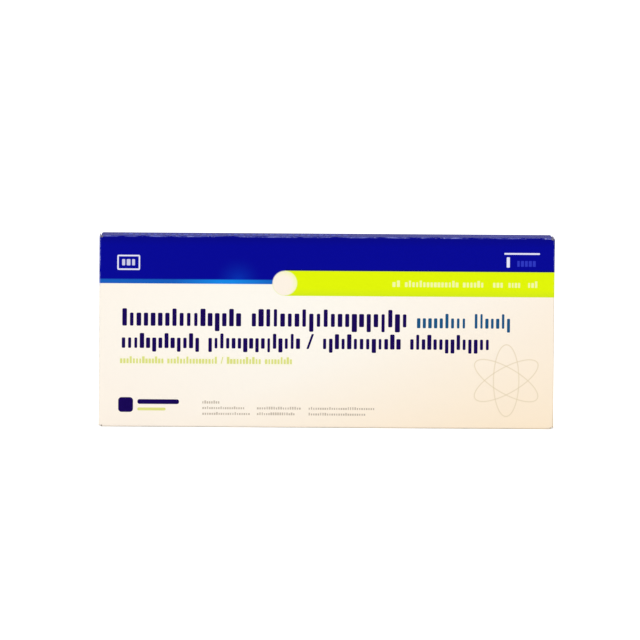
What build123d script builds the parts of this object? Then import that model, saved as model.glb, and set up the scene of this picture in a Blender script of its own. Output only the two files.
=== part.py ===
from build123d import *
import os
from math import cos, degrees, radians, sin, tan

# Reverse-tuck folding carton for one rapid test, with the six things it holds.
# Millimetres, +Z up. The printed front panel faces -Y and the carton stands on its
# long bottom panel. The origin is the middle of the bottom panel's outside face.
# The carton is the same at both ends, turned half round: at +X the end closure
# hangs on the back panel and tucks in behind the front, at -X the other way round.

# Carton board and overall size
carton_length = 190.0
carton_height = 80.0
board = 0.45
crease_radius = 0.8  # outside of every fold
crease_gap = 0.05  # open line between two boards that turn about one crease

# End closures and tuck flaps
tuck_length = 13.0
tuck_play = 0.45  # between the tuck flap and the panel that it slides behind
tuck_edge_play = 2.0  # from the carton's top and bottom to the tuck flap's edges
tuck_corner = 9.0
slit_length = 4.6  # friction-lock slits at both ends of the tuck crease
closure_edge_play = 0.5
closure_corner = 0.9
panel_end_inset = 0.4  # how far a raw panel end stops short of the closure's face

# Dust flaps and glue seam
dust_length = 26.0
dust_play = 0.3  # between the dust flaps and the closure over them
dust_shoulder = 0.8
dust_relief = 4.0  # cut back so that the tuck flap can slide past
dust_side_play = 0.3
dust_taper = 2.5
dust_mitre = 5.0
glue_flap_width = 12.0
glue_flap_taper = 6.0
seam_inset = 0.2

# What the carton holds
play = 0.4  # between two things packed side by side
leaflet_end_play = 7.75  # from the tuck flaps' edges
leaflet_height = 70.0
leaflet_sheet = 0.3
leaflet_pitch = 0.6
leaflet_folds = 2
pouch_length = 130.0
pouch_height = 64.0
pouch_thickness = 7.4
pouch_seal_width = 8.0
pouch_seal_thickness = 0.4
pouch_tooth = 2.0
pouch_notch = 2.5
cassette_length = 70.0
cassette_width = 20.0
tube_length = 62.0
tube_mouth_diameter = 9.8
tube_flange_width = 0.4
tube_flange_thickness = 1.4
tube_foot_length = 14.0
tube_end_diameter = 5.6
tube_wall = 0.7
tip_plug_length = 6.0
tip_collar_length = 2.0
tip_nozzle_length = 10.0
tip_nozzle_diameter = 2.4
tip_bore_diameter = 1.0
tip_wall = 0.9
tip_fit = 0.15  # radial, in the tube's mouth
ampoule_barrel_length = 26.0
ampoule_barrel_diameter = 10.0
ampoule_end_chamfer = 1.8
ampoule_shoulder_length = 4.0
ampoule_neck_length = 4.0
ampoule_neck_diameter = 4.0
ampoule_tab_length = 13.0
ampoule_tab_width = 10.0
ampoule_fin_length = 9.0
ampoule_fin_thickness = 1.4
swab_pouch_height = 22.0
swab_pouch_end_play = 4.0
swab_web = 0.12
swab_blister_width = 9.0
swab_blister_depth = 5.8
swab_blister_draft = 15.0  # degrees
swab_blister_end = 9.0  # flat seal past each end of the blister
swab_end_play = 9.0  # free blister past each end of the swab
swab_lie = 0.1  # between the bud and the web and the blister's side it lies on
swab_stick_diameter = 2.5
swab_break_diameter = 1.5
swab_break_width = 1.0
swab_break_distance = 30.0  # from the bud's tip
swab_bud_length = 18.0
swab_bud_tail = 3.0  # where the bud thins out along the stick
swab_bud_nose = 1.6
swab_bud_tip = 3.6  # bud past the end of the stick
swab_bud_diameter = 4.6
swab_fit = 0.02

# Places that follow from those sizes
leaflet_thickness = leaflet_sheet + leaflet_folds * leaflet_pitch
leaflet_length = carton_length - 2 * tuck_length - 2 * leaflet_end_play
bay_radius = tube_mouth_diameter / 2 + tube_flange_width
carton_depth = 2 * board + leaflet_thickness + pouch_thickness + 2 * bay_radius + 4 * play
half_length = carton_length / 2
half_depth = carton_depth / 2
inside_front = -half_depth + board
inside_back = half_depth - board
floor_front = board
floor_back = 2 * board  # on the glue flap
bend = crease_radius - board / 2  # every fold's radius at the middle of the board
crease_low = crease_radius
crease_high = carton_height - crease_radius
half_gap_angle = degrees(crease_gap / 2 / crease_radius)
dust_face = half_length - board - dust_play
sleeve_end = dust_face - crease_radius
tuck_face = inside_front + tuck_play  # outside face of the tuck flap at +X
hinge_centre = (half_length - crease_radius, half_depth - crease_radius)
tuck_centre = (half_length - crease_radius, tuck_face + crease_radius)


def crease_axis(centre, angle, radius):
    """The point across the middle of a fold that its two boards turn about."""
    return (
        centre[0] + radius * cos(radians(angle)),
        centre[1] + radius * sin(radians(angle)),
    )


# One dust flap: a strip bent down from the top panel, trimmed to its outline
with BuildPart() as dust_flap:
    with BuildSketch(Plane.XZ) as strip:
        with BuildLine():
            FilletPolyline(
                (sleeve_end - board, carton_height - board / 2),
                (dust_face - board / 2, carton_height - board / 2),
                (dust_face - board / 2, carton_height - dust_length),
                radius=bend,
            )
        trace(line_width=board)
    extrude(amount=half_depth, both=True)
    root = half_depth - crease_radius - dust_side_play
    shoulder_low = carton_height - crease_radius - dust_shoulder
    relief_edge = inside_front + dust_relief
    flap_end = carton_height - dust_length
    with BuildSketch(Plane.YZ.offset(sleeve_end)) as outline:
        with BuildLine():
            Polyline(
                (-root, carton_height),
                (-root, shoulder_low),
                (relief_edge, shoulder_low),
                (relief_edge, flap_end + dust_mitre),
                (relief_edge + dust_mitre, flap_end),
                (root - dust_taper, flap_end),
                (root, flap_end + dust_mitre),
                (root, carton_height),
                close=True,
            )
        make_face()
    extrude(amount=crease_radius, mode=Mode.INTERSECT)

# What the sleeve carries at +X: the free end of the front panel, the creased end of
# the back panel and the two dust flaps
with BuildPart() as panel_ends:
    with BuildSketch(Plane.XZ.offset(-inside_front)) as free_end:
        with Locations(((sleeve_end + half_length - panel_end_inset) / 2, carton_height / 2)):
            Rectangle(half_length - panel_end_inset - sleeve_end, crease_high - crease_low)
        outer_corners = free_end.vertices().group_by(Axis.X)[-1]
        fillet(outer_corners, radius=closure_corner)
    extrude(amount=board)
    with BuildSketch(Plane.XY.offset(crease_low)) as creased_end:
        with BuildLine():
            Line((sleeve_end, half_depth - board / 2), (hinge_centre[0], half_depth - board / 2))
            CenterArc(hinge_centre, bend, 90, -45 + half_gap_angle)
        trace(line_width=board)
    extrude(amount=crease_high - crease_low)
    add(dust_flap.part)
    add(dust_flap.part.mirror(Plane.XY.offset(carton_height / 2)))

# Carton sleeve: four panels and the glue flap as one wrapped sheet
with BuildPart() as carton_sleeve:
    with BuildSketch(Plane.YZ.offset(-sleeve_end)) as wrap:
        with BuildLine():
            FilletPolyline(
                (half_depth - seam_inset, board / 2),
                (-half_depth + board / 2, board / 2),
                (-half_depth + board / 2, carton_height - board / 2),
                (half_depth - board / 2, carton_height - board / 2),
                (half_depth - board / 2, carton_height / 2),
                radius=bend,
            )
        trace(line_width=board)
        with BuildLine():
            FilletPolyline(
                (half_depth - board / 2, carton_height / 2),
                (half_depth - board / 2, 1.5 * board),
                (half_depth - board / 2 - glue_flap_width, 1.5 * board),
                radius=bend,
            )
        trace(line_width=board)
    extrude(amount=2 * sleeve_end)
    glue_edge = half_depth - board / 2 - glue_flap_width
    with BuildSketch(Plane.XY.offset(board)) as glue_flap_corner:
        for side in (-1, 1):
            with BuildLine():
                Polyline(
                    (side * sleeve_end, glue_edge),
                    (side * (sleeve_end - glue_flap_taper), glue_edge),
                    (side * sleeve_end, inside_back - crease_radius),
                    close=True,
                )
            make_face()
    extrude(amount=board, mode=Mode.SUBTRACT)
    add(panel_ends.part)
    add(panel_ends.part.rotate(Axis.Z, 180))
carton_sleeve.part.label = "carton_sleeve"

# End closure at +X: the end panel between its two creases, with slit ears
with BuildPart() as closure:
    closure_low = closure_edge_play
    closure_high = carton_height - closure_edge_play
    with BuildSketch(Plane.YZ.offset(half_length - board)) as end_panel:
        with Locations(((hinge_centre[1] + tuck_face) / 2, carton_height / 2)):
            Rectangle(hinge_centre[1] - tuck_face, closure_high - closure_low)
        ear_corners = end_panel.vertices().group_by(Axis.X)[0]
        fillet(ear_corners, radius=closure_corner)
        with Locations(((tuck_centre[1] + tuck_face) / 2, carton_height / 2)):
            Rectangle(
                tuck_centre[1] - tuck_face, carton_height - 2 * slit_length, mode=Mode.SUBTRACT
            )
    extrude(amount=board)
    with BuildSketch(Plane.XY.offset(crease_low)) as hinge_fold:
        with BuildLine():
            CenterArc(hinge_centre, bend, 0, 45 - half_gap_angle)
        trace(line_width=board)
    extrude(amount=crease_high - crease_low)
    with BuildSketch(Plane.XY.offset(slit_length)) as tuck_fold:
        with BuildLine():
            CenterArc(tuck_centre, bend, 0, -45 + half_gap_angle)
        trace(line_width=board)
    extrude(amount=carton_height - 2 * slit_length)

# Tuck flap at +X: slides in behind the front panel
with BuildPart() as tuck_flap:
    tuck_root = tuck_centre[0] - crease_gap
    with BuildSketch(Plane.XZ.offset(-tuck_face - board)) as flap:
        with Locations((half_length - tuck_length, carton_height / 2)):
            Rectangle(
                tuck_root - (half_length - tuck_length),
                carton_height - 2 * tuck_edge_play,
                align=(Align.MIN, Align.CENTER),
            )
        tip_corners = flap.vertices().group_by(Axis.X)[0]
        fillet(tip_corners, radius=tuck_corner)
    extrude(amount=board)
    root_low = slit_length + crease_gap
    with BuildSketch(Plane.XY.offset(root_low)) as root_fold:
        with BuildLine():
            Line((tuck_root, tuck_face + board / 2), (tuck_centre[0], tuck_face + board / 2))
            CenterArc(tuck_centre, bend, -90, 45 - half_gap_angle)
        trace(line_width=board)
    extrude(amount=carton_height - 2 * root_low)

carton_boards = {"carton_sleeve": carton_sleeve.part}
for end, turn in (("right", 0), ("left", 180)):
    carton_boards[f"{end}_closure"] = closure.part.rotate(Axis.Z, turn)
    carton_boards[f"{end}_tuck_flap"] = tuck_flap.part.rotate(Axis.Z, turn)

# Instruction leaflet: one sheet in a zigzag, standing against the back panel
leaflet_back = inside_back - play - leaflet_sheet / 2
leaflet_low = floor_back + leaflet_sheet / 2
leaflet_high = floor_back + leaflet_height - leaflet_sheet / 2
zigzag = []
for fold in range(leaflet_folds + 1):
    run = (leaflet_low, leaflet_high) if fold % 2 == 0 else (leaflet_high, leaflet_low)
    zigzag += [(leaflet_back - fold * leaflet_pitch, z) for z in run]
with BuildPart() as instruction_leaflet:
    with BuildSketch(Plane.YZ) as folds:
        with BuildLine():
            FilletPolyline(*zigzag, radius=0.45 * leaflet_pitch)
        trace(line_width=leaflet_sheet)
    extrude(amount=leaflet_length / 2, both=True)
instruction_leaflet.part.label = "instruction_leaflet"

# Foil pouch: a flat sealed rim round a pillow that shows the cassette inside it
pouch_middle = inside_back - 2 * play - leaflet_thickness - pouch_thickness / 2
pouch_plane = Plane(
    origin=(0, pouch_middle, floor_back + pouch_height / 2), x_dir=(1, 0, 0), z_dir=(0, -1, 0)
)
with BuildPart() as foil_pouch:
    with BuildSketch(pouch_plane.offset(-pouch_seal_thickness / 2)) as rim:
        Rectangle(pouch_length, pouch_height)
        teeth = int(pouch_height // pouch_tooth)
        with GridLocations(pouch_length, pouch_height / teeth, 2, teeth):
            Rectangle(pouch_tooth / 2, pouch_tooth / 2, rotation=45, mode=Mode.SUBTRACT)
        with GridLocations(pouch_length - 2 * pouch_seal_width, pouch_height, 2, 1):
            Rectangle(pouch_notch, pouch_notch, rotation=45, mode=Mode.SUBTRACT)
    extrude(amount=pouch_seal_thickness)
    for face in (1, -1):
        with BuildSketch(pouch_plane) as seal_line:
            Rectangle(pouch_length - 2 * pouch_seal_width, pouch_height - 2 * pouch_seal_width)
            chamfer(seal_line.vertices(), length=pouch_seal_width / 2)
        with BuildSketch(pouch_plane.offset(face * pouch_thickness / 2)) as over_cassette:
            Rectangle(cassette_length, cassette_width)
            chamfer(over_cassette.vertices(), length=cassette_width / 8)
        loft()
foil_pouch.part.label = "foil_pouch"

# Things lying along the front of the carton, one after the other from -X
bay_y = inside_front + play + bay_radius
bay_start = -half_length + tuck_length + 2 * play
tip_length = tip_plug_length + tip_collar_length + tip_nozzle_length
tip_start = bay_start + tube_length + 4 * play
ampoule_start = tip_start + tip_length + 4 * play + ampoule_fin_length


def along(start, y, z):
    """Sketch plane for a piece that lies along X, and the axis it is turned about."""
    plane = Plane(origin=(start, y, z), x_dir=(1, 0, 0), z_dir=(0, -1, 0))
    return plane, Axis((start, y, z), (1, 0, 0))


# Extraction tube: a soft tube with a tapered foot and a flanged mouth
tube_plane, tube_axis = along(bay_start, bay_y, floor_front + bay_radius)
tube_end_radius = tube_end_diameter / 2
tube_mouth_radius = tube_mouth_diameter / 2
with BuildPart() as extraction_tube:
    with BuildSketch(tube_plane) as tube_half:
        with BuildLine():
            Polyline(
                (0, 0),
                (0, tube_end_radius),
                (tube_foot_length, tube_mouth_radius),
                (tube_length, tube_mouth_radius),
                (tube_length, 0),
                close=True,
            )
        make_face()
    revolve(axis=tube_axis)
    mouth = extraction_tube.faces().sort_by(Axis.X)[-1]
    offset(amount=-tube_wall, openings=mouth)
    with BuildSketch(Plane.YZ.offset(bay_start + tube_length - tube_flange_thickness)):
        with Locations((bay_y, floor_front + bay_radius)):
            Circle(bay_radius)
            Circle(tube_mouth_radius - tube_wall / 2, mode=Mode.SUBTRACT)
    extrude(amount=tube_flange_thickness)
extraction_tube.part.label = "extraction_tube"

# Dropper tip: a plug that fits the tube's mouth, a collar and a tapered nozzle
tip_plane, tip_axis = along(tip_start, bay_y, floor_front + bay_radius)
plug_radius = tube_mouth_radius - tube_wall - tip_fit
collar_end = tip_plug_length + tip_collar_length
with BuildPart() as dropper_tip:
    with BuildSketch(tip_plane) as tip_half:
        with BuildLine():
            Polyline(
                (0, plug_radius - tip_wall),
                (0, plug_radius),
                (tip_plug_length, plug_radius),
                (tip_plug_length, bay_radius),
                (collar_end, bay_radius),
                (collar_end, plug_radius),
                (tip_length, tip_nozzle_diameter / 2),
                (tip_length, tip_bore_diameter / 2),
                (tip_plug_length, tip_bore_diameter / 2),
                (tip_plug_length, plug_radius - tip_wall),
                close=True,
            )
        make_face()
    revolve(axis=tip_axis)
dropper_tip.part.label = "dropper_tip"

# Buffer ampoule: blown, filled and sealed in one piece, with a twist-off tab
ampoule_radius = ampoule_barrel_diameter / 2
ampoule_plane, ampoule_axis = along(ampoule_start, bay_y, floor_front + ampoule_radius)
neck_start = ampoule_barrel_length + ampoule_shoulder_length
neck_end = neck_start + ampoule_neck_length
with BuildPart() as buffer_ampoule:
    with BuildSketch(ampoule_plane) as barrel_half:
        with BuildLine():
            Polyline(
                (0, 0),
                (0, ampoule_radius),
                (ampoule_barrel_length, ampoule_radius),
                (neck_start, ampoule_neck_diameter / 2),
                (neck_end, ampoule_neck_diameter / 2),
                (neck_end, 0),
                close=True,
            )
        make_face()
        end_corner = barrel_half.vertices().group_by(Axis.X)[0].sort_by(Axis.Y)[-1]
        chamfer(end_corner, length=ampoule_end_chamfer)
    revolve(axis=ampoule_axis)
    fin_plane = Plane.XY.offset(ampoule_axis.position.Z - ampoule_fin_thickness / 2)
    with BuildSketch(fin_plane) as tab_and_fin:
        with Locations((ampoule_start + neck_end, bay_y)):
            Rectangle(
                ampoule_tab_length, ampoule_tab_width, align=(Align.MIN, Align.CENTER)
            )
        with Locations((ampoule_start + ampoule_end_chamfer, bay_y)):
            Rectangle(
                ampoule_fin_length + ampoule_end_chamfer,
                ampoule_tab_width,
                align=(Align.MAX, Align.CENTER),
            )
        fillet(tab_and_fin.vertices(), radius=ampoule_fin_thickness)
    extrude(amount=ampoule_fin_thickness)
buffer_ampoule.part.label = "buffer_ampoule"

# Swab in its peel pouch, standing on the tube's flange and the tip's collar
swab_pouch_length = 2 * (dust_face - board - swab_pouch_end_play)
pouch_foot = bay_radius / 3  # how far behind the tube's axis it stands
swab_low = floor_front + bay_radius + (bay_radius**2 - (pouch_foot - 2 * swab_web) ** 2) ** 0.5
swab_pouch_z = swab_low + swab_pouch_height / 2
film_y = bay_y + pouch_foot - swab_web
blister_length = swab_pouch_length - 2 * swab_blister_end
web_plane = Plane(origin=(0, film_y, swab_pouch_z), x_dir=(1, 0, 0), z_dir=(0, -1, 0))

with BuildPart() as swab_pouch_paper:
    with BuildSketch(web_plane) as paper_web:
        RectangleRounded(swab_pouch_length, swab_pouch_height, closure_corner)
    extrude(amount=-swab_web)
swab_pouch_paper.part.label = "swab_pouch_paper"

with BuildPart() as swab_pouch_film:
    with BuildSketch(web_plane) as blister:
        SlotOverall(blister_length, swab_blister_width)
    extrude(amount=swab_blister_depth, taper=swab_blister_draft)
    with BuildSketch(web_plane) as film_web:
        RectangleRounded(swab_pouch_length, swab_pouch_height, closure_corner)
    extrude(amount=swab_web)
    with BuildSketch(web_plane) as hollow:
        SlotOverall(blister_length - 2 * swab_web, swab_blister_width - 2 * swab_web)
    extrude(
        amount=swab_blister_depth - swab_web, taper=swab_blister_draft, mode=Mode.SUBTRACT
    )
swab_pouch_film.part.label = "swab_pouch_film"

stick_radius = swab_stick_diameter / 2
bud_radius = swab_bud_diameter / 2
bud_front = blister_length - 2 * swab_end_play
stick_end = bud_front - swab_bud_tip
bud_back = bud_front - swab_bud_length
break_at = bud_front - swab_break_distance
draft = radians(swab_blister_draft)
swab_depth = swab_lie + bud_radius
swab_drop = (
    swab_blister_width / 2 - swab_depth * tan(draft) - (swab_web + swab_depth) / cos(draft)
)
swab_plane, swab_axis = along(
    -blister_length / 2 + swab_end_play, film_y - swab_depth, swab_pouch_z - swab_drop
)
with BuildPart() as swab_stick:
    with BuildSketch(swab_plane) as stick_half:
        with BuildLine():
            Polyline(
                (0, 0),
                (0, stick_radius),
                (break_at - swab_break_width, stick_radius),
                (break_at - swab_break_width, swab_break_diameter / 2),
                (break_at, swab_break_diameter / 2),
                (break_at, stick_radius),
                (stick_end, stick_radius),
                (stick_end, 0),
                close=True,
            )
        make_face()
    revolve(axis=swab_axis)
swab_stick.part.label = "swab_stick"

with BuildPart() as swab_bud:
    with BuildSketch(swab_plane) as bud_half:
        with BuildLine():
            Polyline(
                (bud_front, 0),
                (bud_front, bud_radius - swab_bud_nose),
                (bud_front - swab_bud_nose, bud_radius),
                (bud_back + swab_bud_tail, bud_radius),
                (bud_back, stick_radius + swab_fit),
                (stick_end + swab_fit, stick_radius + swab_fit),
                (stick_end + swab_fit, 0),
                (bud_front, 0),
            )
        make_face()
    revolve(axis=swab_axis)
swab_bud.part.label = "swab_bud"

contents = (
    instruction_leaflet,
    foil_pouch,
    extraction_tube,
    dropper_tip,
    buffer_ampoule,
    swab_pouch_paper,
    swab_pouch_film,
    swab_stick,
    swab_bud,
)

os.makedirs("parts", exist_ok=True)
for name, shape in carton_boards.items():
    shape.label = name
    export_step(shape, f"parts/{name}.step")
for piece in contents:
    export_step(piece.part, f"parts/{piece.part.label}.step")

# The closure's fold straightens as it opens, so it turns about the outside of the
# crease. The tuck flap's fold closes as it follows, so it turns about the inside.
closure_axis = crease_axis(hinge_centre, 45, crease_radius)
tuck_axis = crease_axis(tuck_centre, -45, crease_radius - board)
print("depth of the closed carton:", round(carton_depth, 3))
print("closure crease axis at +X:", [round(v, 4) for v in closure_axis])
print("tuck crease axis at +X:", [round(v, 4) for v in tuck_axis])
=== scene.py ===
from math import cos, radians, sin

import bpy
import numpy as np
from mathutils import Matrix, Vector


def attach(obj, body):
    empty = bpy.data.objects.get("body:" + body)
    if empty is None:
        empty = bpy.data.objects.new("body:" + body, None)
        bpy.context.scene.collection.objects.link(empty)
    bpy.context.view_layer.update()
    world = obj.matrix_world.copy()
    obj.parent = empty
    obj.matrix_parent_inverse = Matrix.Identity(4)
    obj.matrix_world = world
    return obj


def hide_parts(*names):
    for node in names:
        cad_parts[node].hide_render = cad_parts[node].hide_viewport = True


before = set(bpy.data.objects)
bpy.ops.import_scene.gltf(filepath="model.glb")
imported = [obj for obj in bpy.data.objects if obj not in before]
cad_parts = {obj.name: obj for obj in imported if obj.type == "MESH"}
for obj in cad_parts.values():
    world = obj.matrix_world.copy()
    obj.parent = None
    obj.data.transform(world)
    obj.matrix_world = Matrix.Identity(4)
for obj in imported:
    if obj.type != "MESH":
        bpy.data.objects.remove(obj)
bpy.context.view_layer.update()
print("frame loaded:", ", ".join(sorted(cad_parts)))


def ink(red, green, blue):  # a printed colour as a photograph shows it, 0 to 255, made linear
    share = np.array([red, green, blue]) / 255
    linear = np.where(share <= 0.04045, share / 12.92, ((share + 0.055) / 1.055) ** 2.4)
    return (*linear.tolist(), 1.0)


class Wire:  # a socket that can be reckoned with: each operator adds one Math node
    def __init__(self, maker, socket):
        self.maker, self.socket = maker, socket

    def __add__(self, other): return self.maker.maths("ADD", self, other)
    def __sub__(self, other): return self.maker.maths("SUBTRACT", self, other)
    def __mul__(self, other): return self.maker.maths("MULTIPLY", self, other)
    def __truediv__(self, other): return self.maker.maths("DIVIDE", self, other)
    def __pow__(self, other): return self.maker.maths("POWER", self, other)
    def __gt__(self, other): return self.maker.maths("GREATER_THAN", self, other)
    def __lt__(self, other): return self.maker.maths("LESS_THAN", self, other)
    def __radd__(self, other): return self.maker.maths("ADD", other, self)
    def __rsub__(self, other): return self.maker.maths("SUBTRACT", other, self)
    def __rmul__(self, other): return self.maker.maths("MULTIPLY", other, self)
    def __rtruediv__(self, other): return self.maker.maths("DIVIDE", other, self)
    def __neg__(self): return self.maker.maths("MULTIPLY", self, -1.0)
    def __abs__(self): return self.maker.maths("ABSOLUTE", self)


class Maker:  # one material and its node tree
    def __init__(self, name):
        self.material = bpy.data.materials.new(name)
        self.material.use_nodes = True
        self.tree = self.material.node_tree
        self.tree.nodes.clear()

    def node(self, kind, settings=None, sockets=None, out=0):
        made = self.tree.nodes.new(kind)
        for key, value in (settings or {}).items():
            if key == "stops":  # of a colour ramp: pairs of place and colour
                stops = made.color_ramp.elements
                while len(stops) < len(value):
                    stops.new(0.5)
                for stop, (place, colour) in zip(stops, value):
                    stop.position, stop.color = place, colour
            else:
                setattr(made, key, value)
        for key, value in (sockets or {}).items():
            if isinstance(value, Wire):
                self.tree.links.new(value.socket, made.inputs[key])
            else:
                made.inputs[key].default_value = value
        return Wire(self, made.outputs[out]) if made.outputs else made

    def maths(self, operation, *values, clamp=False):
        settings = {"operation": operation, "use_clamp": clamp}
        return self.node("ShaderNodeMath", settings, dict(enumerate(values)))

    def place(self, scale=1000.0):  # object coordinates in millimetres
        point = self.node("ShaderNodeTexCoord", out="Object")
        settings = {"operation": "SCALE"}
        return self.node("ShaderNodeVectorMath", settings, {0: point, "Scale": scale})

    def split(self, vector):
        xyz = self.node("ShaderNodeSeparateXYZ", None, {0: vector})
        return [Wire(self, xyz.socket.node.outputs[i]) for i in range(3)]

    def joined(self, x, y, z):
        return self.node("ShaderNodeCombineXYZ", None, {0: x, 1: y, 2: z})

    def chance(self, number):  # a fixed random value from 0 to 1 for each number
        return self.node("ShaderNodeTexWhiteNoise", {"noise_dimensions": "1D"}, {"W": number})

    def seenRay(self):  # 1 for rays from the camera, off gloss and through clear film
        camera = self.node("ShaderNodeLightPath", out="Is Camera Ray")
        outputs = camera.socket.node.outputs
        glossy = Wire(self, outputs["Is Glossy Ray"])
        clear = Wire(self, outputs["Is Transmission Ray"])
        return held(camera + glossy + clear)

    def mix(self, share, first, second):
        settings = {"data_type": "RGBA", "clamp_factor": True}
        return self.node("ShaderNodeMix", settings, {0: share, 6: first, 7: second}, out=2)

    def noise(self, vector, scale, detail=2.0, roughness=0.5):
        sockets = {"Vector": vector, "Scale": scale, "Detail": detail, "Roughness": roughness}
        return self.node("ShaderNodeTexNoise", None, sockets)

    def stretched(self, vector, x, y, z):
        settings = {"operation": "MULTIPLY"}
        return self.node("ShaderNodeVectorMath", settings, {0: vector, 1: (x, y, z)})

    def bump(self, height, strength, distance, under=None):
        sockets = {"Height": height, "Strength": strength, "Distance": distance}
        if under is not None:
            sockets["Normal"] = under
        return self.node("ShaderNodeBump", None, sockets)

    def finish(self, sockets):
        shader = self.node("ShaderNodeBsdfPrincipled", None, sockets)
        self.node("ShaderNodeOutputMaterial", None, {"Surface": shader})
        return self.material


def larger(a, b): return a.maker.maths("MAXIMUM", a, b)
def smaller(a, b): return a.maker.maths("MINIMUM", a, b)
def floorOf(a): return a.maker.maths("FLOOR", a)
def partOf(a): return a.maker.maths("FRACT", a)
def rootOf(a): return a.maker.maths("SQRT", a)
def held(a): return a.maker.maths("ADD", a, 0.0, clamp=True)  # kept between 0 and 1


def rising(a, low, high):  # 0 at low, 1 at high, and straight between them
    return a.maker.maths("MULTIPLY_ADD", a, 1 / (high - low), -low / (high - low), clamp=True)


def within(distance, edge=0.08):  # 1 inside a form, 0 outside
    return rising(distance, edge / 2, -edge / 2)


def beyond(a, low, high):  # how far outside low to high
    return abs(a - (low + high) / 2) - (high - low) / 2


def length2(a, b):  # of two distances, with what lies inside a form counted as none
    a, b = larger(a, 0.0), larger(b, 0.0)
    return rootOf(a * a + b * b)


def block(u, v, left, right, low, high, rounding=0.3):  # distance outside a rounded rectangle
    return length2(beyond(u, left, right) + rounding, beyond(v, low, high) + rounding) - rounding


def blocks(u, v, forms):  # distance outside the nearest of several rounded rectangles
    nearest = block(u, v, *forms[0])
    for form in forms[1:]:
        nearest = smaller(nearest, block(u, v, *form))
    return nearest


def disc(u, v, centre, radius):  # distance outside a circle
    du, dv = u - centre[0], v - centre[1]
    return rootOf(du * du + dv * dv) - radius


def ellipseLine(u, v, centre, across, up, turn, line):
    # distance to an ellipse: k (k - 1) / |p / axes squared|, where k = |p / axes|
    du, dv = u - centre[0], v - centre[1]
    x = du * cos(turn) + dv * sin(turn)
    y = dv * cos(turn) - du * sin(turn)
    x1, y1 = x / across, y / up
    k = rootOf(x1 * x1 + y1 * y1)
    x2, y2 = x1 / across, y1 / up
    return abs(k * (k - 1.0) / rootOf(x2 * x2 + y2 * y2)) - line / 2


strokes = {  # how a row of plain strokes varies, in shares of its strokes and of their pitch
    "even": 0.7, "deep": 0.16, "slim": 0.16, "wide": 0.04, "wordStep": 40.0, "farOff": 9.0,
}


def wordRow(u, v, words, low, high, pitch, rise, drop, gap, rounding, seed):
    # words as rows of plain rounded strokes: a word's own count of equal cells, whose
    # tops and feet stand out at random as print does from a distance
    s, maker, line = strokes, u.maker, 0.0
    for number, (left, right) in enumerate(words):
        cell = (right - left) / max(1, round((right - left) / pitch))
        start = s["wordStep"] * (number + 1) - left / cell
        along = maker.maths("MULTIPLY_ADD", u, 1 / cell, start)
        line = (beyond(u, left, right) < 0.0) * along + line
    chance = maker.chance(floorOf(line) + seed)
    top = maker.maths("MULTIPLY_ADD", chance > s["even"], rise, high)
    foot = maker.maths("MULTIPLY_ADD", chance < s["deep"], -drop, low)
    slimmer = maker.chance(floorOf(line) + seed + 0.5) * (s["slim"] * pitch)
    across = (abs(partOf(line) - 0.5) - 0.5) * pitch + slimmer
    across = across + (gap / 2 - s["wide"] * pitch + rounding)
    updown = abs(v - (top + foot) * 0.5) - (top - foot) * 0.5 + rounding
    return length2(across, updown) - rounding + (line < 1.0) * s["farOff"]


# the carton's print is in millimetres on the front: u from the left, v from the bottom
carton = {
    "length": 190.0, "depth": 22.0, "height": 80.0, "board": 0.45, "crease": 0.8,
    "dustFace": 94.25, "tuckFace": 10.1, "skin": 0.3, "panelEdge": 0.85,
    "cream": ink(254, 243, 229), "creamLight": ink(255, 250, 240), "creamShaded": ink(253, 235, 208),
    "blue": ink(0, 2, 148), "blueDeep": ink(2, 2, 112), "glow": ink(0, 50, 180),
    "strip": ink(20, 94, 188), "stripLight": ink(18, 134, 230),
    "lime": ink(226, 246, 2), "limeDeep": ink(214, 236, 22), "bandShade": ink(4, 8, 84),
    "navy": ink(20, 0, 82), "teal": ink(25, 84, 130), "pale": ink(246, 250, 176),
    "smallLime": ink(222, 226, 132), "grey": ink(186, 174, 158), "line": ink(226, 210, 178),
    "dimBlue": ink(44, 54, 190), "topBlue": ink(58, 76, 196), "white": ink(232, 232, 250),
    # painted fold highlight (lavender) and painted fold shade (grey)
    "paintedFoldLight": ink(150, 158, 240), "bent": ink(232, 229, 216),
    "core": ink(226, 219, 206), "inside": ink(228, 222, 212),
    "bandLow": 60.0, "limeLow": 55.2, "limeHigh": 65.7, "circle": (77.4, 60.5), "circleRadius": 5.1,
    "stripHigh": 61.8, "stripMiddle": 53.0, "glowCentre": (58.0, 61.0), "glowRadius": 11.0,
    # painted light and shade on the cream: where it is lit lightest and how far that reaches, and
    # the lean of the painted shade towards the lower right
    "paintedLightMiddle": (72.0, 46.0), "paintedLightReach": (118.0, 62.0), "paintedLightFade": (0.15, 1.05),
    "paintedShadeLean": 0.4, "paintedShadeFade": (10.0, 82.0), "darkFrom": 76.0, "darkShare": 0.55,
    "stripFade": (22.0, 3.0), "limeFade": (58.5, 55.5), "shadeHigh": 0.5, "shadeShare": 0.8,
    "rimLine": 0.12, "rimFade": (-2.6, 0.0), "buttonFade": (96.5, 102.5),
}


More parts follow.
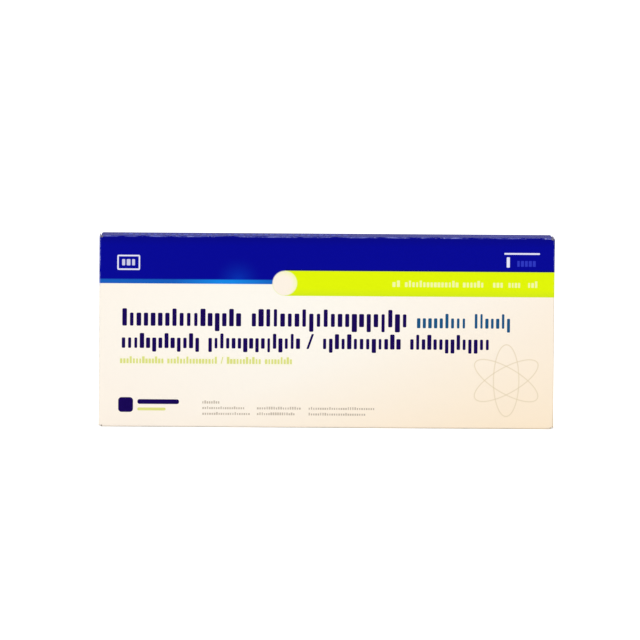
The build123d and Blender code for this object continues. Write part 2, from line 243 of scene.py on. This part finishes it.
def bandColour(maker, u, v, c):  # the fields of colour that wrap round all sides
    centreU = c["circle"][0]
    # painted light and shade: the cream is lighter round a middle point and deeper towards the lower
    # right
    du = (u - c["paintedLightMiddle"][0]) / c["paintedLightReach"][0]
    dv = (v - c["paintedLightMiddle"][1]) / c["paintedLightReach"][1]
    paintedLightShare = rising(rootOf(du ** 2.0 + dv ** 2.0), *c["paintedLightFade"])
    colour = maker.mix(paintedLightShare, c["creamLight"], c["cream"])
    paintedShadeShare = rising(u * c["paintedShadeLean"] - v, *c["paintedShadeFade"])
    colour = maker.mix(paintedShadeShare, colour, c["creamShaded"])
    dark = rising(v, c["darkFrom"], c["height"]) * c["darkShare"]
    blue = maker.mix(dark, c["blue"], c["blueDeep"])
    glow = rising(disc(u, v, c["glowCentre"], 0.0), c["glowRadius"], 0.0)
    blue = maker.mix(glow * glow, blue, c["glow"])
    lit = rising(abs(u - c["stripMiddle"]), *c["stripFade"])
    strip = maker.mix(lit, c["strip"], c["stripLight"])
    onStrip = within(beyond(v, c["bandLow"] - 1.0, c["stripHigh"]), 0.5) * within(u - centreU)
    blue = maker.mix(onStrip, blue, strip)
    left = within(c["bandLow"] - v) * within(u - centreU)
    right = within(c["limeHigh"] - v) * within(centreU - u)
    colour = maker.mix(left + right, colour, blue)
    lime = maker.mix(rising(v, *c["limeFade"]), c["lime"], c["limeDeep"])
    onLime = within(beyond(v, c["limeLow"], c["limeHigh"])) * within(centreU - u)
    colour = maker.mix(onLime, colour, lime)
    overLime = beyond(v, c["limeHigh"], c["limeHigh"] + c["shadeHigh"])
    shade = within(overLime, 0.4) * within(centreU - u)
    return maker.mix(shade * c["shadeShare"], colour, c["bandShade"])


def button(maker, colour, u, v, c):  # the round end of the lime band, on the front and the back
    rim = disc(u, v, c["circle"], c["circleRadius"])
    line = within(abs(rim) - c["rimLine"], 0.3) * (v < c["circle"][1])
    colour = maker.mix(line * 0.8, colour, c["limeDeep"])
    shade = rising(rim, *c["rimFade"]) * rising(u * 0.8 + v * 0.6, *c["buttonFade"])
    return maker.mix(within(rim, 0.5), colour, maker.mix(shade * 0.8, c["cream"], c["pale"]))


finePrint = {"ragged": 0.3, "spaces": 0.16, "spacing": 0.8, "barHalf": 0.3, "edge": 0.2}


def smallPrint(maker, u, v, columns, low, high, pitch):
    # columns of fine print as broken bars, ragged at the right
    p, row = finePrint, (v - low) / pitch
    number, total = floorOf(row), 0.0
    for place, (left, right) in enumerate(columns):
        end = maker.chance(number + 17.0 * place)
        share = (u - left) / (right - left)
        total = total + (share > 0.0) * (share < end * p["ragged"] + (1.0 - p["ragged"]))
    cell = maker.joined(floorOf(u * p["spacing"]), number, 0.0)
    word = maker.node("ShaderNodeTexWhiteNoise", {"noise_dimensions": "2D"}, {"Vector": cell})
    inRow = within(abs(partOf(row) - 0.5) * pitch - p["barHalf"], p["edge"])
    return total * (inRow * within(beyond(v, low, high))) * (word > p["spaces"])


plainPrint = {  # of the sides that the photograph doesn't show
    "columns": [(9.0, 62.0), (68.5, 121.5), (128.0, 181.0)], "rows": (8.0, 40.0, 2.0),
    "heads": [(9.0, 27.0, 43.0, 44.6, 0.6), (68.5, 92.0, 43.0, 44.6, 0.6),
              (128.0, 149.0, 43.0, 44.6, 0.6)],
    "topRow": ([(9.2, 50.0), (53.0, 104.0)], -2.6, 1.2, 2.5, 1.5, 1.4, 0.8, 0.45, 21.0),
    "topRules": [(150.0, 181.0, 0.6, 1.3, 0.3), (160.0, 181.0, -2.2, -1.5, 0.3)],
    "endField": (-7.0, 7.0, 10.0, 36.0, 0.8),
    "endBars": [(-7.0, 3.5, 44.0, 45.6, 0.6), (-7.0, -0.5, 40.6, 41.8, 0.5)],
}


def backPrint(maker, colour, u, v, c):  # plain columns and heads; u runs from its own left
    p = plainPrint
    bars = smallPrint(maker, u, v, p["columns"], *p["rows"])
    colour = maker.mix(bars * 0.75, colour, c["grey"])
    return maker.mix(within(blocks(u, v, p["heads"])), colour, c["navy"])


def topPrint(maker, colour, u, v, c):  # u along the top, v across it from its middle
    row = wordRow(u, v, *plainPrint["topRow"])
    forms = smaller(row, blocks(u, v, plainPrint["topRules"]))
    return maker.mix(within(forms) * 0.8, colour, c["topBlue"])


def endPrint(maker, colour, u, v, c):  # a bare field and two bars; u across the end from its middle
    field = block(u, v, *plainPrint["endField"])
    colour = maker.mix(within(field), colour, c["creamLight"])
    colour = maker.mix(within(abs(field) - 0.12, 0.12) * 0.8, colour, c["grey"])
    return maker.mix(within(blocks(u, v, plainPrint["endBars"])), colour, c["navy"])


frontRows = {  # words from left to right, foot, top, pitch, rise, drop, gap, rounding, seed
    "title": ([(9.2, 59.7), (63.1, 129.0)], 42.3, 47.8, 2.95, 1.8, 2.1, 0.95, 0.5, 3.0),
    "under": ([(9.0, 42.3), (45.2, 84.3), (92.9, 126.3), (129.4, 163.3)],
              33.0, 37.4, 2.5, 1.9, 1.5, 0.8, 0.45, 11.0),
    "teal": ([(132.2, 153.4), (156.2, 172.0)], 42.0, 46.2, 2.3, 1.9, 1.6, 0.85, 0.4, 5.0),
    "small": ([(8.7, 27.2), (28.4, 49.5), (53.3, 67.8), (69.2, 80.8)],
              26.6, 28.6, 1.35, 0.9, 0.0, 0.35, 0.15, 7.0),
    "onLime": ([(122.0, 125.7), (127.3, 150.0), (151.5, 160.5), (164.0, 168.6), (170.5, 175.8),
                (178.6, 183.0)], 59.2, 61.2, 1.5, 0.7, 0.0, 0.4, 0.2, 9.0),
    "listHead": ([(43.1, 50.6)], 9.9, 10.9, 1.0, 0.3, 0.0, 0.3, 0.1, 13.0),
    "listUpper": ([(43.2, 61.0), (66.0, 84.5), (87.5, 115.3)],
                  7.6, 8.45, 0.95, 0.3, 0.0, 0.28, 0.1, 7.6),
    "listLower": ([(43.2, 63.3), (66.0, 82.0), (87.5, 111.5)],
                  5.2, 6.05, 0.95, 0.3, 0.0, 0.28, 0.1, 5.2),
    "box": ([(9.1, 15.3)], 67.5, 70.1, 2.0, 0.0, 0.0, 0.5, 0.3, 2.0),
    "dim": ([(174.0, 182.2)], 68.0, 70.4, 1.7, 0.8, 0.0, 0.4, 0.2, 4.0),
}
frontForms = {  # rounded rectangles: left, right, low, high, rounding
    "slash": (75.0, 76.0, 33.0, 39.3, 0.3), "thinSlash": (44.2, 44.6, 26.6, 29.5, 0.15),
    "boxOuter": (7.8, 16.7, 65.9, 71.6, 0.3), "boxInner": (8.1, 16.4, 66.2, 71.3, 0.2),
    "rule": (168.9, 183.7, 73.0, 73.7, 0.2), "bar": (169.9, 171.2, 67.6, 71.9, 0.3),
    "device": (8.2, 14.4, 6.2, 12.4, 1.4), "deviceBar": (16.2, 33.6, 9.6, 11.6, 0.9),
    "deviceLine": (16.2, 28.0, 6.9, 8.1, 0.55),
}
loops = {"centre": (170.1, 20.3), "across": 15.0, "up": 5.3, "line": 0.42, "turns": (90, 30, -30)}


def frontPrint(maker, colour, u, v, c):  # the blocks of print that only the front has
    def row(name): return wordRow(u, v, *frontRows[name])
    def form(name, along=u): return block(along, v, *frontForms[name])

    title = smaller(smaller(row("title"), row("under")), form("slash", u - v * 0.35))
    small = smaller(row("small"), form("thinSlash", u - v * 0.25))
    listing = smaller(smaller(row("listHead"), row("listUpper")), row("listLower"))
    box = larger(abs(form("boxOuter")) - 0.3, -form("boxInner"))  # the outlined box, top left
    layers = [
        (within(title), "navy"), (within(row("teal")), "teal"),
        (within(small, 2.4) * 0.3, "pale"), (within(small), "smallLime"),
        (within(row("onLime")) * 0.9, "pale"), (within(listing) * 0.85, "grey"),
        (within(box), "white"), (within(row("box")) * 0.75, "white"),
        (within(form("rule")), "white"), (within(form("bar")), "white"),
        (within(row("dim")), "dimBlue"),
        (within(smaller(form("device"), form("deviceBar"))), "navy"),
        (within(form("deviceLine")), "smallLime"),
    ]
    for turn in loops["turns"]:
        shape = (loops["centre"], loops["across"], loops["up"], radians(turn), loops["line"])
        layers.append((within(ellipseLine(u, v, *shape), 0.3) * 0.7, "line"))
    for share, name in layers:
        colour = maker.mix(share, colour, c[name])
    return colour


boardWear = {  # depths in millimetres; each pair is where a share starts and where it is whole
    "printDepth": (-0.12, -0.05), "coreDepth": (0.04, 0.07), "fold": (0.18, 0.46),
    "streaks": (0.16, 1.6, 0.5), "worn": (0.72, 0.8), "wornShare": 0.35,
    # the first pair and share here are for the painted highlight and shade along the folds
    "paintedFoldLight": (0.42, 0.62), "paintedFoldLightShare": 0.5, "rubbed": (0.4, 0.7), "smear": 0.6,
    "fibreScale": 2.2, "plyScale": 7.0, "grainScale": 5.5, "swellScale": (0.012, 0.012, 0.022),
    "roughInside": 0.86, "gloss": 0.42, "specular": 0.04,
}


def boardMaterial(name, piece):  # printed outside, raw edges, plain inside, in one material
    c, w, maker = carton, boardWear, Maker(name)
    point = maker.place()
    x, y, z = maker.split(point)
    r, reach = c["crease"], (c["length"] / 2, c["depth"] / 2, c["height"] / 2)
    fromMiddle = (abs(x), abs(y), abs(z - reach[2]))
    overX, overY, overZ = (distance - (side - r) for distance, side in zip(fromMiddle, reach))
    if piece == "sleeve":  # depth below the printed side: of the dust flaps' fold, or of the panels
        atEnds = length2(abs(x) - (c["dustFace"] - r), overZ) - r
        cornered = larger(overX, 0.0)
        atPanels = length2(length2(cornered, overY), overZ) - r
        atFlaps = abs(y) < reach[1] - c["panelEdge"]
        depth = maker.maths("MULTIPLY_ADD", atFlaps, atEnds - atPanels, atPanels)
    else:
        side = 1.0 if piece == "right" else -1.0
        middle, half = (reach[1] - c["tuckFace"]) / 2, (reach[1] + c["tuckFace"]) / 2
        depth = length2(overX, abs(y * side - middle) - (half - r)) - r
    printed = rising(depth, *w["printDepth"])
    core = rising(depth, *(level - c["board"] for level in w["coreDepth"]))

    u, v = x + reach[0], z
    faceX, faceY = reach[0] - c["skin"], reach[1] - c["skin"]
    colour = bandColour(maker, u, v, c)
    if piece == "sleeve":
        colour = maker.mix(abs(y) > faceY, colour, button(maker, colour, u, v, c))
        front = frontPrint(maker, colour, u, v, c)
        colour = maker.mix(y < -faceY, colour, front)
        back = backPrint(maker, colour, reach[0] - x, v, c)
        colour = maker.mix(y > faceY, colour, back)
        top = topPrint(maker, colour, u, y, c)
        colour = maker.mix(z > c["height"] - c["skin"], colour, top)
    else:
        ends = endPrint(maker, colour, y * side, v, c)
        colour = maker.mix(abs(x) > faceX, colour, ends)

    fibre = maker.noise(point, w["fibreScale"], 4.0, 0.65)
    second = larger(smaller(overX, overY), larger(smaller(overY, overZ), smaller(overX, overZ)))
    crease = rising(second, *w["fold"])  # 1 where two sides meet in a fold
    streak = maker.noise(maker.stretched(point, *w["streaks"]), 1.0, 3.0, 0.6)
    specks = maker.noise(point, 1.3, 5.0, 0.7)
    worn = rising(specks + streak * 0.3, *w["worn"]) * crease
    paintedFoldLight = rising(streak, *w["paintedFoldLight"]) * crease  # painted light along the folds: highlight in the blue, shade in the cream
    rubbed = rising(maker.noise(point, 0.045, 3.0, 0.5), *w["rubbed"])
    inked = rising(v, c["bandLow"] - 2.0, c["bandLow"])
    bent = maker.mix(inked, c["bent"], c["paintedFoldLight"])  # painted highlight, lavender, in the blue, and painted shade, grey, below it
    colour = maker.mix(paintedFoldLight * w["paintedFoldLightShare"], colour, bent)
    colour = maker.mix(worn * w["wornShare"], colour, c["white"])
    plies = maker.noise(point, w["plyScale"], 3.0, 0.6)
    inside = maker.mix(rising(fibre, 0.35, 0.7), c["inside"], c["core"])
    edge = maker.mix(rising(plies, 0.3, 0.7), c["core"], c["cream"])
    smeared = maker.mix(w["smear"], edge, colour)  # ink smeared over the cut edges
    colour = maker.mix(printed, smeared, colour)
    colour = maker.mix(core, inside, colour)

    grain = maker.noise(point, w["grainScale"], 3.0, 0.6)
    swell = maker.noise(maker.stretched(point, *w["swellScale"]), 1.0, 2.0, 0.45)
    waved = maker.bump(swell, 0.5, 0.0008)
    rough = w["roughInside"] - printed * w["gloss"] + grain * 0.08 + worn * 0.3
    return maker.finish({
        "Base Color": colour, "Roughness": rough + rubbed * printed * 0.05,
        "Specular IOR Level": w["specular"], "Normal": maker.bump(grain, 0.14, 0.00006, waved),
    })


def dress(nodeName, material):  # a CAD node keeps its mesh and gets a finer material
    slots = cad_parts[nodeName].data.materials
    slots.clear()
    slots.append(material)


dress("carton_sleeve", boardMaterial("sleeveBoard", "sleeve"))
for end in ("right", "left"):
    endBoard = boardMaterial(end + "EndBoard", end)
    dress(end + "_closure", endBoard)
    dress(end + "_tuck_flap", endBoard)
print("carton printed")


foilPouch = {
    "half": (65.0, 32.0), "middle": (0.0, 4.55, 32.9), "swell": 2.75, "rim": 0.2,
    "thickest": 3.68, "seal": 8.0, "cassette": (35.0, 10.0), "columns": 301, "rows": 149,
    "teeth": 32, "toothDepth": 0.5, "ribPitch": 1.75, "ribHeight": 0.09,
    "crinkle": 0.62, "dimple": 0.5, "dimplePlace": 20.0, "dimpleReach": (9.0, 5.0),
    "pleat": 0.25, "pleatCount": 11, "puff": 0.45, "flattened": 0.55, "freeWithin": 7, "sway": 0.1,
    "waves": ((34.0, 0.34), (21.0, 0.27), (13.0, 0.2), (8.0, 0.12), (5.0, 0.07)), "seed": 7,
    # painted reflection tones of the foil, from light to dark
    "foil": ink(232, 233, 235), "foilReflectionMid": ink(176, 179, 184), "foilReflectionDark": ink(92, 96, 104),
    "metallic": 0.9, "roughness": 0.3,
}


def crinkles(a, b, waves, seed):
    # folded waves 1 - 2|sin| of many directions and pitches, each bent by a slower wave
    rng = np.random.default_rng(seed)
    total = np.zeros_like(a)
    for pitch, weight in waves:
        for _ in range(3):
            way, shift = rng.uniform(0, np.pi), rng.uniform(0, 6.28)
            bend = 1.4 * np.sin(a * 2 / pitch + shift) * np.sin(b * 1.4 / pitch - shift)
            line = (a * np.cos(way) + b * np.sin(way)) * np.pi / pitch + shift + bend
            total += weight / 3 * (1 - 2 * np.abs(np.sin(line)))
    return total


def foilShape(p):
    # height of a side = rim + swell * rise + folds: rise goes smoothly from 0 at the seal
    # to 1 over the cassette, folds are crinkles plus pleats that run out from its corners
    across, up = np.linspace(-1, 1, p["columns"]), np.linspace(-1, 1, p["rows"])
    a, b = np.meshgrid(across * p["half"][0], up * p["half"][1])
    inner = (p["half"][0] - p["seal"], p["half"][1] - p["seal"])
    spans = zip((a, b), p["cassette"], inner)
    away = [np.clip((np.abs(v) - c) / (i - c), 0, 1) for v, c, i in spans]
    rise = (1 - away[0] ** 1.4) * (1 - away[1] ** 1.4)
    rise = rise * rise * (3 - 2 * rise)
    free = np.clip((inner[0] - np.abs(a)) / p["freeWithin"], 0, 1)
    free = free * np.clip((inner[1] - np.abs(b)) / p["freeWithin"], 0, 1)
    sealed = np.clip(1 - free * 8, 0, 1)
    ribLine = np.where(np.abs(a) > inner[0], a, b)
    ribs = p["ribHeight"] * sealed * np.sin(2 * np.pi * ribLine / p["ribPitch"])
    outward = np.arctan2(np.abs(b) - p["cassette"][1], np.abs(a) - p["cassette"][0] + 0.01)
    pleats = p["pleat"] * np.sin(outward * p["pleatCount"]) * (1 - rise)
    sway = p["sway"] * np.sin(a / 9 + b / 13) * sealed
    tooth = np.abs((np.linspace(0, p["teeth"], p["rows"]) % 1) - 0.5) * 2 * p["toothDepth"]
    edge = np.abs(across) > 0.999
    outline = a - np.sign(a) * edge[None, :] * tooth[:, None]
    fromDimple = (np.abs(a) - p["dimplePlace"]) / p["dimpleReach"][0]
    dimple = p["dimple"] * np.exp(-fromDimple ** 2 - (b / p["dimpleReach"][1]) ** 2)
    sides, paintedReflections = [], []
    for way, seed in ((-1, p["seed"]), (1, p["seed"] + 1)):
        folds = p["crinkle"] * crinkles(a, b, p["waves"], seed) + pleats
        loose = free ** 0.7 * (folds * (1 - p["flattened"] * rise) + p["puff"])
        height = p["rim"] + p["swell"] * rise + loose - dimple * rise
        height = np.clip(height, p["rim"] * 0.6, p["thickest"])
        y = p["middle"][1] + way * height + ribs * 0.5 + sway
        sides.append(np.stack([outline + p["middle"][0], y, b + p["middle"][2]], axis=-1))
        # painted reflection: each spot lighter or darker by how it leans
        leans = np.gradient(height + ribs * way, up * p["half"][1], across * p["half"][0])
        paintedReflections.append(np.clip(0.5 + 1.1 * leans[0] - 0.45 * leans[1], 0, 1))
    return sides, paintedReflections


def foilMaterial(p):  # brushed laminate, with painted reflection: darker where it leans down
    maker = Maker("foilLaminate")
    point = maker.place()
    paintedReflectionLevel = maker.node("ShaderNodeAttribute", {"attribute_name": "slope"}, out="Fac")
    cloudy = maker.noise(point, 0.1, 3.0, 0.5)
    brushed = maker.noise(maker.stretched(point, 0.5, 0.5, 8.0), 1.0, 3.0, 0.6)
    paintedReflectionLevel = paintedReflectionLevel + (cloudy - 0.5) * 0.25 + (brushed - 0.5) * 0.12
    colour = maker.mix(rising(paintedReflectionLevel, 0.05, 0.5), p["foilReflectionDark"], p["foilReflectionMid"])
    colour = maker.mix(rising(paintedReflectionLevel, 0.5, 0.85), colour, p["foil"])
    return maker.finish({
        "Base Color": colour, "Metallic": p["metallic"],
        "Roughness": p["roughness"] + cloudy * 0.1 + brushed * 0.08,
        "Normal": maker.bump(brushed, 0.2, 0.00006),
    })


def makeFoilPouch(p):  # two sides on one grid, joined by a wall of faces round the edge
    sides, paintedReflections = foilShape(p)
    count = paintedReflections[0].size
    points = np.concatenate([s.reshape(-1, 3) for s in sides]) / 1000
    index = np.arange(count).reshape(paintedReflections[0].shape)
    corners = [index[:-1, :-1], index[:-1, 1:], index[1:, 1:], index[1:, :-1]]
    quads = np.stack(corners, axis=-1).reshape(-1, 4)
    ring = np.concatenate([index[0, :], index[1:, -1], index[-1, -2::-1], index[-2:0:-1, 0]])
    after = np.roll(ring, -1)
    wall = np.stack([after, ring, ring + count, after + count], axis=-1)
    faces = np.concatenate([quads, quads[:, ::-1] + count, wall])
    mesh = bpy.data.meshes.new("foilPouch")
    mesh.from_pydata(points.tolist(), [], faces.tolist())
    mesh.polygons.foreach_set("use_smooth", np.ones(len(faces), dtype=bool))
    slope = mesh.attributes.new("slope", "FLOAT", "POINT")  # painted reflection: how far each spot leans up or down
    values = np.concatenate([s.ravel() for s in paintedReflections]).astype(np.float32)
    slope.data.foreach_set("value", values)
    pouch = bpy.data.objects.new("foilPouch", mesh)
    bpy.context.scene.collection.objects.link(pouch)
    mesh.materials.append(foilMaterial(p))
    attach(pouch, "carton")
    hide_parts("foil_pouch")


leaflet = {"paper": ink(240, 240, 235), "grey": ink(172, 174, 178), "fold": ink(222, 221, 214),
           "linePitch": 2.3, "columns": [(-71.0, -38.0), (-34.0, -2.0), (2.0, 34.0), (38.0, 71.0)]}


def leafletMaterial(p):  # thin paper with lines of small print as plain grey bars
    maker = Maker("leafletPaper")
    point = maker.place()
    x, y, z = maker.split(point)
    fibre = maker.noise(point, 1.6, 5.0, 0.65)
    bar = smallPrint(maker, x, z, p["columns"], 5.0, 66.0, p["linePitch"])
    colour = maker.mix(rising(fibre, 0.3, 0.75) * 0.35, p["paper"], p["fold"])
    colour = maker.mix(bar * 0.8, colour, p["grey"])
    wave = maker.noise(maker.stretched(point, 0.05, 0.05, 0.11), 1.0, 2.0, 0.5)
    return maker.finish({
        "Base Color": colour, "Roughness": 0.82 + fibre * 0.1, "Specular IOR Level": 0.2,
        "Normal": maker.bump(fibre, 0.2, 0.00005, maker.bump(wave, 0.4, 0.0008)),
    })


softPlastics = {
    "tubePlastic": {"colour": ink(236, 241, 245), "shade": ink(220, 228, 234),
                    "alpha": 0.55, "rough": 0.3, "seamHeight": 5.75},
    "tipPlastic": {"colour": ink(240, 243, 245), "shade": ink(226, 231, 235),
                   "alpha": 0.76, "rough": 0.36, "seamHeight": 5.75},
    "ampoulePlastic": {"colour": ink(226, 236, 242), "shade": ink(206, 221, 230),
                       "alpha": 0.6, "rough": 0.2, "seamHeight": 5.45},
}


def softPlastic(name):  # cloudy, with flow lines along the piece and a faint parting line
    p, maker = softPlastics[name], Maker(name)
    point = maker.place()
    height = maker.split(point)[2]
    cloudy = maker.noise(point, 0.22, 3.0, 0.55)
    flow = maker.noise(maker.stretched(point, 0.12, 1.4, 1.4), 1.0, 3.0, 0.55)
    fine = maker.noise(point, 6.0, 2.0, 0.6)
    seam = within(abs(height - p["seamHeight"]) - 0.06, 0.1)
    shade = rising(cloudy * 0.6 + flow * 0.4, 0.35, 0.65)
    return maker.finish({
        "Base Color": maker.mix(shade, p["colour"], p["shade"]),
        "Alpha": p["alpha"] + cloudy * 0.12 + seam * 0.15,
        "Roughness": p["rough"] + fine * 0.12 + flow * 0.05, "Specular IOR Level": 0.45,
        "Normal": maker.bump(flow * 0.7 + fine * 0.2 + seam * 0.6, 0.16, 0.0001),
    })


peelPouch = {
    "sealStart": (82.0, 7.0), "middle": 21.8, "ribTurn": 5.2, "sealWidth": 0.8,
    "paper": ink(244, 244, 241), "paperShade": ink(226, 226, 221), "paperRough": 0.72,
    "film": ink(240, 245, 248), "filmShade": ink(226, 234, 240), "filmRough": 0.1, "alpha": 0.1,
}


def ribbedSeal(maker, x, z, along, p):  # the seal round the peel pouch's edge, and its ribs
    rib = maker.maths("SINE", along * p["ribTurn"]) * 0.5 + 0.5
    past = larger(abs(x) - p["sealStart"][0], abs(z - p["middle"]) - p["sealStart"][1])
    return rib, rising(past, 0.0, p["sealWidth"])


def webPaper(p):  # smooth peel paper with fibres and specks
    maker = Maker("peelPaper")
    point = maker.place()
    x, y, z = maker.split(point)
    fibre = maker.noise(point, 2.4, 5.0, 0.65)
    speck = maker.noise(point, 0.35, 3.0, 0.6)
    rib, seal = ribbedSeal(maker, x, z, x + z, p)
    shade = rising(fibre * 0.7 + speck * 0.3, 0.3, 0.7)
    return maker.finish({
        "Base Color": maker.mix(shade, p["paper"], p["paperShade"]),
        "Roughness": p["paperRough"] + fibre * 0.12, "Specular IOR Level": 0.25,
        "Normal": maker.bump(rib * seal * 0.8 + fibre * 0.25, 0.25, 0.0001),
    })


def webFilm(p):  # clear formed film: thin, glossy, with draw lines down the blister
    maker = Maker("formedFilm")
    point = maker.place()
    x, y, z = maker.split(point)
    streak = maker.noise(maker.stretched(point, 0.5, 0.1, 0.1), 1.0, 3.0, 0.6)
    rib, seal = ribbedSeal(maker, x, z, x - z, p)
    fine = maker.noise(point, 1.4, 3.0, 0.55)
    return maker.finish({
        "Base Color": maker.mix(rising(streak, 0.3, 0.7), p["film"], p["filmShade"]),
        "Alpha": p["alpha"] + streak * 0.08 + seal * 0.2, "Specular IOR Level": 0.5,
        "Roughness": p["filmRough"] + fine * 0.14 + seal * 0.15,
        "Normal": maker.bump(rib * seal * 0.7 + streak * 0.5, 0.2, 0.0002),
    })


swab = {
    "stick": ink(238, 238, 236), "stickShade": ink(224, 225, 225), "stickRough": 0.38,
    "bud": ink(250, 250, 250), "budShade": ink(214, 216, 218), "clumpShade": ink(205, 207, 210),
    "budRough": 0.9, "bristleScale": 9.0,
}


def stickPlastic(p):  # white moulded stick, fine lines along it
    maker = Maker("stickPlastic")
    point = maker.place()
    lines = maker.noise(maker.stretched(point, 0.15, 6.0, 6.0), 1.0, 2.0, 0.5)
    fine = maker.noise(point, 5.0, 3.0, 0.6)
    return maker.finish({
        "Base Color": maker.mix(rising(lines, 0.35, 0.7), p["stick"], p["stickShade"]),
        "Roughness": p["stickRough"] + fine * 0.14, "Specular IOR Level": 0.4,
        "Normal": maker.bump(lines * 0.6 + fine * 0.3, 0.18, 0.0001),
    })


def budFibre(p):  # flocked fibre: short bristles seen end on, soft at a glance
    maker = Maker("flockedFibre")
    point = maker.place()
    cells = {"Vector": point, "Scale": p["bristleScale"]}
    tips = maker.node("ShaderNodeTexVoronoi", {"feature": "F1"}, cells)
    clump = maker.noise(point, 1.1, 4.0, 0.65)
    colour = maker.mix(rising(tips, 0.1, 0.75), p["bud"], p["budShade"])
    colour = maker.mix(rising(clump, 0.45, 0.75) * 0.3, colour, p["clumpShade"])
    return maker.finish({
        "Base Color": colour, "Roughness": p["budRough"] + clump * 0.08,
        "Specular IOR Level": 0.15, "Sheen Weight": 0.4,
        "Normal": maker.bump(tips * -0.8 + clump, 0.7, 0.00025),
    })


makeFoilPouch(foilPouch)
dress("instruction_leaflet", leafletMaterial(leaflet))
dress("extraction_tube", softPlastic("tubePlastic"))
dress("dropper_tip", softPlastic("tipPlastic"))
dress("buffer_ampoule", softPlastic("ampoulePlastic"))
dress("swab_pouch_paper", webPaper(peelPouch))
dress("swab_pouch_film", webFilm(peelPouch))
dress("swab_stick", stickPlastic(swab))
dress("swab_bud", budFibre(swab))
print("contents finished")


stage = {
    "floorReach": 6.0, "floorDrop": 0.00005, "floorTone": (0.8, 0.8, 0.8, 1.0),
    "floorGlow": 0.52, "worldLevel": 0.95, "worldColour": (1.0, 1.0, 1.0, 1.0),
    "keyPower": 11.5, "keySize": 1.6, "keyPlace": (-0.9, -1.9, 1.7), "keyAim": (0.0, 0.0, 0.04),
}


def makeFloor(s):
    # a pale flat sheet, white to the camera apart from the object's shadow
    maker = Maker("paleFloor")
    seen = maker.seenRay()
    matte = maker.node("ShaderNodeBsdfDiffuse", None, {"Color": s["floorTone"]})
    glow = maker.node("ShaderNodeEmission", None, {"Strength": seen * s["floorGlow"]})
    both = maker.node("ShaderNodeAddShader", None, {0: matte, 1: glow})
    maker.node("ShaderNodeOutputMaterial", None, {"Surface": both})
    reach = s["floorReach"]
    across, back = np.meshgrid([-reach, reach], [-reach, reach])
    corners = np.stack([across, back, np.full_like(across, -s["floorDrop"])], axis=-1).reshape(-1, 3)
    mesh = bpy.data.meshes.new("floorSheet")
    mesh.from_pydata(corners.tolist(), [], [(0, 1, 3, 2)])
    floor = bpy.data.objects.new("floorSheet", mesh)
    bpy.context.scene.collection.objects.link(floor)
    mesh.materials.append(maker.material)


def makeWorld(s):  # plain level light, and white to the camera, to gloss and through clear film
    world = bpy.data.worlds.new("studio")
    bpy.context.scene.world = world
    world.use_nodes = True
    tree = world.node_tree
    tree.nodes.clear()
    maker = Maker("worldMaths")
    bpy.data.materials.remove(maker.material)
    maker.tree = tree
    seen = maker.seenRay()
    strength = seen * (1.0 - s["worldLevel"]) + s["worldLevel"]
    sockets = {"Color": s["worldColour"], "Strength": strength}
    light = maker.node("ShaderNodeBackground", None, sockets)
    maker.node("ShaderNodeOutputWorld", None, {"Surface": light})


def aimed(place, aim, roll=0.0):  # a matrix at place whose -Z looks at aim, turned about that line
    way = (Vector(aim) - Vector(place)).to_track_quat("-Z", "Y").to_matrix().to_4x4()
    return Matrix.Translation(place) @ way @ Matrix.Rotation(roll, 4, "Z")


def makeLamp(name, power, size, place, aim):
    lamp = bpy.data.lights.new(name, "AREA")
    lamp.energy, lamp.shape, lamp.size = power, "DISK", size
    made = bpy.data.objects.new(name, lamp)
    bpy.context.scene.collection.objects.link(made)
    made.matrix_world = aimed(place, aim)


view = {
    "distance": 4.0, "elevation": 4.1, "azimuth": -0.8, "roll": 0.43, "sensor": 36.0,
    "frameWidth": 0.267, "panelFace": -0.011, "aim": (-0.00282, 0.04518),
}


def makeCamera(c):
    aim = Vector((c["aim"][0], c["panelFace"], c["aim"][1]))
    up, turn = radians(c["elevation"]), radians(c["azimuth"])
    away = Vector((sin(turn) * cos(up), -cos(turn) * cos(up), sin(up)))
    lens = bpy.data.cameras.new("photoCamera")
    lens.sensor_width, lens.lens = c["sensor"], c["sensor"] * c["distance"] / c["frameWidth"]
    lens.clip_end = 50.0
    camera = bpy.data.objects.new("photoCamera", lens)
    bpy.context.scene.collection.objects.link(camera)
    camera.matrix_world = aimed(aim + away * c["distance"], aim, radians(c["roll"]))
    bpy.context.scene.camera = camera


makeFloor(stage)
makeWorld(stage)
makeLamp("keyLamp", stage["keyPower"], stage["keySize"], stage["keyPlace"], stage["keyAim"])
makeCamera(view)
bpy.context.scene.view_settings.view_transform = "Standard"
print("floor, light and camera set")
